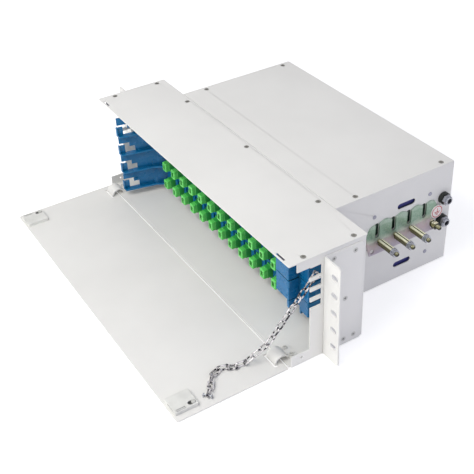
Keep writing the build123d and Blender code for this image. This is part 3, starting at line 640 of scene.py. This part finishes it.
def lower_chain():
    """Loose links lying on the door, on edge and flat by turns."""
    first, spacing, half_span = 6.3, 9.95, 4.4
    rest_z = 1.5
    edge_rise, flat_rise = LINK_WIDTH / 2 + 0.05, 2.2
    shape = Shape()
    for i in range(7):
        flat = i % 2 == 1
        middle = first + spacing * i
        start = along_lower_path(middle - half_span)
        end = along_lower_path(middle + half_span)
        centre = (start + end) / 2
        centre.z = rest_z + (flat_rise if flat else edge_rise)
        add_link(shape, centre, end - start, flat)
    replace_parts(shape.piece("chain_links_lower", "chain_nickel", "door", smooth=True),
                "chain_lower")


straight_chain("chain_links_upper", CHAIN_TOP, count=9, start_overrun=1.62,
               first_flat=False, body="chain_top", replaced="chain_upper")
straight_chain("chain_links_middle", CHAIN_DOOR, count=3, start_overrun=1.1,
               first_flat=True, body="chain_mid", replaced="chain_middle")
lower_chain()


# ---------------------------------------------------------------- floor and world, metres
def make_floor():
    half = 6.0
    mesh = bpy.data.meshes.new("floor")
    mesh.from_pydata([(-half, -half, 0), (half, -half, 0), (half, half, 0), (-half, half, 0)],
                     [], [(0, 1, 2, 3)])
    floor = bpy.data.objects.new("floor", mesh)
    bpy.context.scene.collection.objects.link(floor)
    floor.location.z = -0.0008
    s = Surface("floor_white")
    # the floor glows more for the camera than for the light it casts
    camera_ray = s.add("ShaderNodeLightPath").outputs["Is Camera Ray"]
    mesh.materials.append(s.finish({
        "Base Color": linear(0.94, 0.94, 0.94),
        "Roughness": 0.9,
        "Emission Color": WHITE,
        "Emission Strength": s.remap(camera_ray, target=(0.12, 0.45))}))


def make_world():
    """Even light, with bright and dark bands seen only in reflections."""
    world = bpy.data.worlds.new("world")
    bpy.context.scene.world = world
    world.use_nodes = True
    background = world.node_tree.nodes["Background"]
    background.inputs["Strength"].default_value = 0.57
    sky = Nodes(world.node_tree)
    rays = sky.add("ShaderNodeLightPath").outputs
    direction = sky.add("ShaderNodeTexCoord").outputs["Generated"]
    split = sky.add("ShaderNodeSeparateXYZ", {0: direction})
    bands = sky.ramp(split.outputs["Z"], [
        (0.0, linear(0.05, 0.055, 0.06)), (0.16, linear(0.04, 0.045, 0.05)),
        (0.24, linear(1.3, 1.3, 1.3)), (0.42, linear(0.35, 0.36, 0.38)),
        (0.60, linear(1.9, 1.9, 1.9)), (1.0, linear(0.8, 0.8, 0.85))])
    lit = sky.mix(rays["Is Glossy Ray"], linear(0.93, 0.94, 1.0), bands)
    seen = sky.mix(rays["Is Camera Ray"], lit, linear(1.75, 1.75, 1.75))
    sky.feed(seen, background.inputs["Color"])


make_floor()
make_world()


# ---------------------------------------------------------------- lights and camera, metres
def area_light(name, location, target, size, power, colour):
    light = bpy.data.lights.new(name, "AREA")
    light.shape = "RECTANGLE"
    light.size, light.size_y = size
    light.energy = power
    light.color = colour
    obj = bpy.data.objects.new(name, light)
    bpy.context.scene.collection.objects.link(obj)
    obj.location = location
    aim = Vector(target) - Vector(location)
    obj.rotation_euler = aim.to_track_quat("-Z", "Y").to_euler()


area_light("key_front", location=(0.20, -0.98, 1.12), target=(0.05, 0.0, 0.05),
           size=(0.9, 0.9), power=8.4, colour=(1.0, 0.985, 0.945))
area_light("fill_right", location=(1.5, 0.35, 0.5), target=(0.12, 0.1, 0.06),
           size=(1.2, 1.0), power=1.7, colour=(0.46, 0.48, 1.0))
area_light("deck_light", location=(0.02, -0.55, 0.78), target=(0.06, -0.24, 0.0),
           size=(0.4, 0.4), power=2.1, colour=(1.0, 0.99, 0.95))
area_light("fill_low", location=(-0.1, -1.3, 0.22), target=(0, 0, 0.06),
           size=(1.4, 0.3), power=0.7, colour=(1.0, 1.0, 1.0))


def make_camera():
    """Looks down from the front right, rolled slightly."""
    azimuth, elevation, roll = (math.radians(a) for a in (59.90, 35.80, -2.99))
    place = (0.7654, -0.3736 + COVER_EDGE_Y, 0.6492)
    back = Vector((math.sin(azimuth) * math.cos(elevation),
                   -math.cos(azimuth) * math.cos(elevation), math.sin(elevation)))
    level = Vector((math.cos(azimuth), math.sin(azimuth), 0))
    upright = back.cross(level)
    right = level * math.cos(roll) + upright * math.sin(roll)
    up = -level * math.sin(roll) + upright * math.cos(roll)
    camera = bpy.data.cameras.new("camera")
    camera.sensor_width = 36.0
    camera.lens = 67.65873418
    camera.clip_start, camera.clip_end = 0.01, 50
    obj = bpy.data.objects.new("camera", camera)
    bpy.context.scene.collection.objects.link(obj)
    rows = [(right[i], up[i], back[i], place[i]) for i in range(3)]
    obj.matrix_world = Matrix(rows + [(0, 0, 0, 1)])
    bpy.context.scene.camera = obj


make_camera()
bpy.context.scene.view_settings.view_transform = "Standard"
